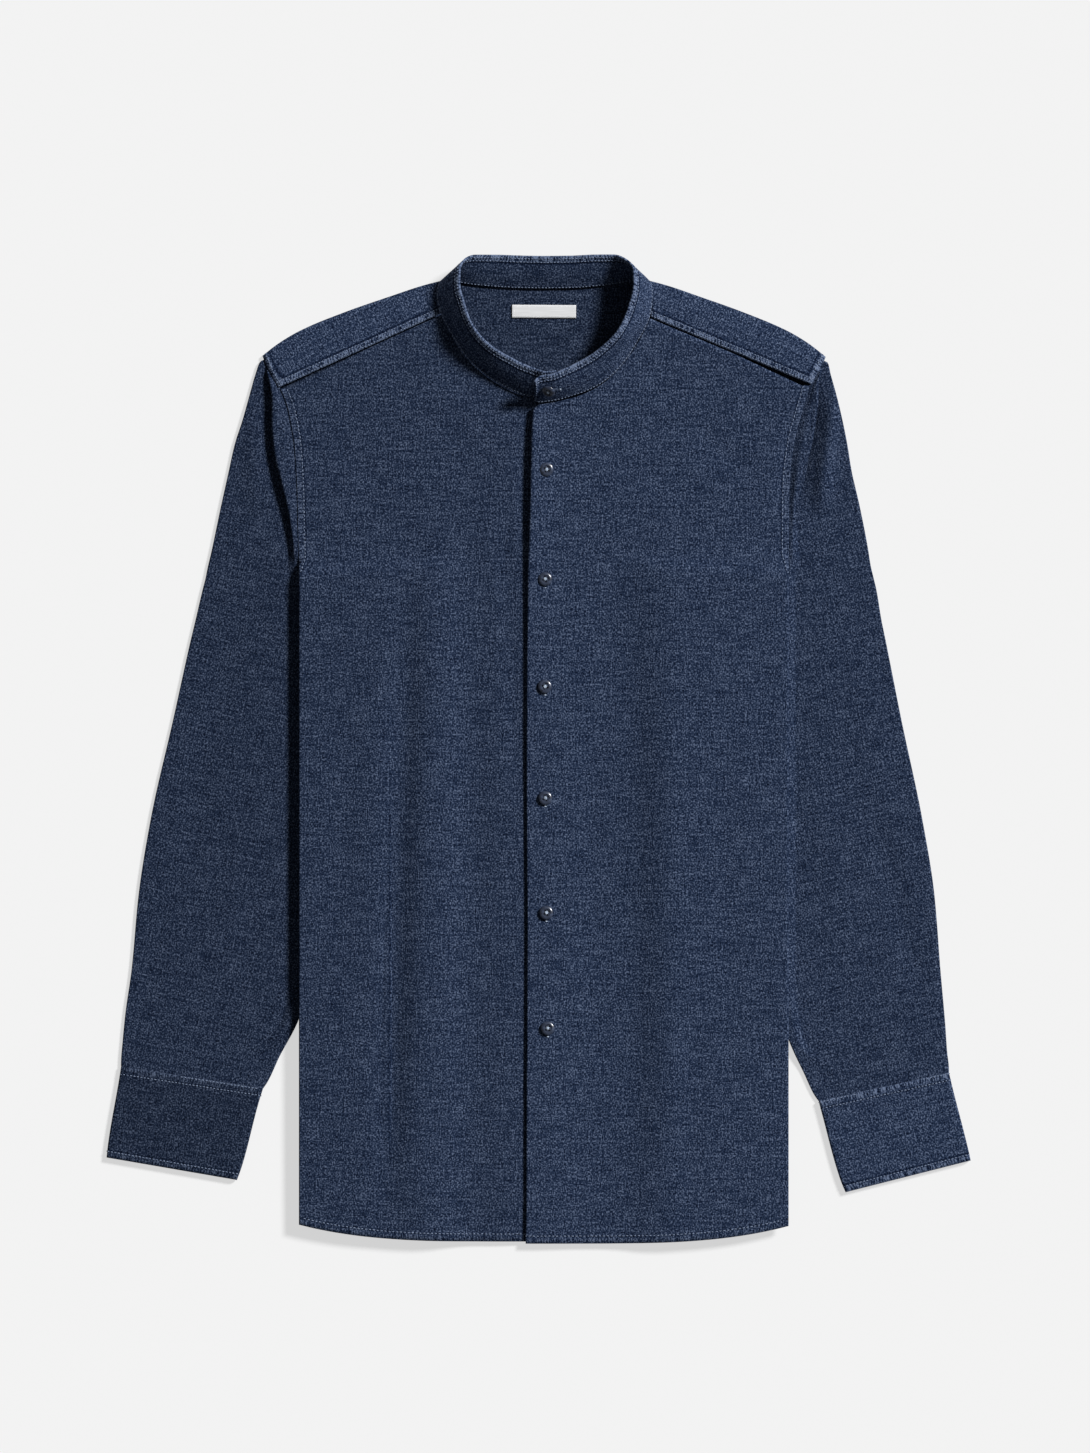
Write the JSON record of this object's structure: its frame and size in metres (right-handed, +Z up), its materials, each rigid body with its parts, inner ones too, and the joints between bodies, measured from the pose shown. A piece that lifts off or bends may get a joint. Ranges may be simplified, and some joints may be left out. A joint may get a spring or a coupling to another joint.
{
  "type": "mandarin collar shirt",
  "caption": "Long-sleeved navy chambray shirt with a mandarin band collar, buttoned and laid flat on its back, sleeves down at its sides.",
  "frame": {"origin": "bottom centre of the whole shirt's box, on the surface it lies on", "axes": "+Z up out of the shirt's front, +Y toward the collar, +X toward the wearer's left"},
  "size_m": [0.6912, 0.7904, 0.0333],
  "materials": {
    "chambray": "matte slub weave",
    "button": "semi-gloss",
    "label": "woven satin"
  },
  "bodies": {
    "root": {"back": "chambray", "yoke": "chambray", "front_left": "chambray", "front_right": "chambray", "sleeve_left": "chambray", "sleeve_right": "chambray", "cuff_left": "chambray", "cuff_right": "chambray", "collar": "chambray", "button_collar": "button", "button_front_1": "button", "button_front_2": "button", "button_front_3": "button", "button_front_4": "button", "button_front_5": "button", "button_front_6": "button", "neck_label": "label"}
  },
  "joints": []
}
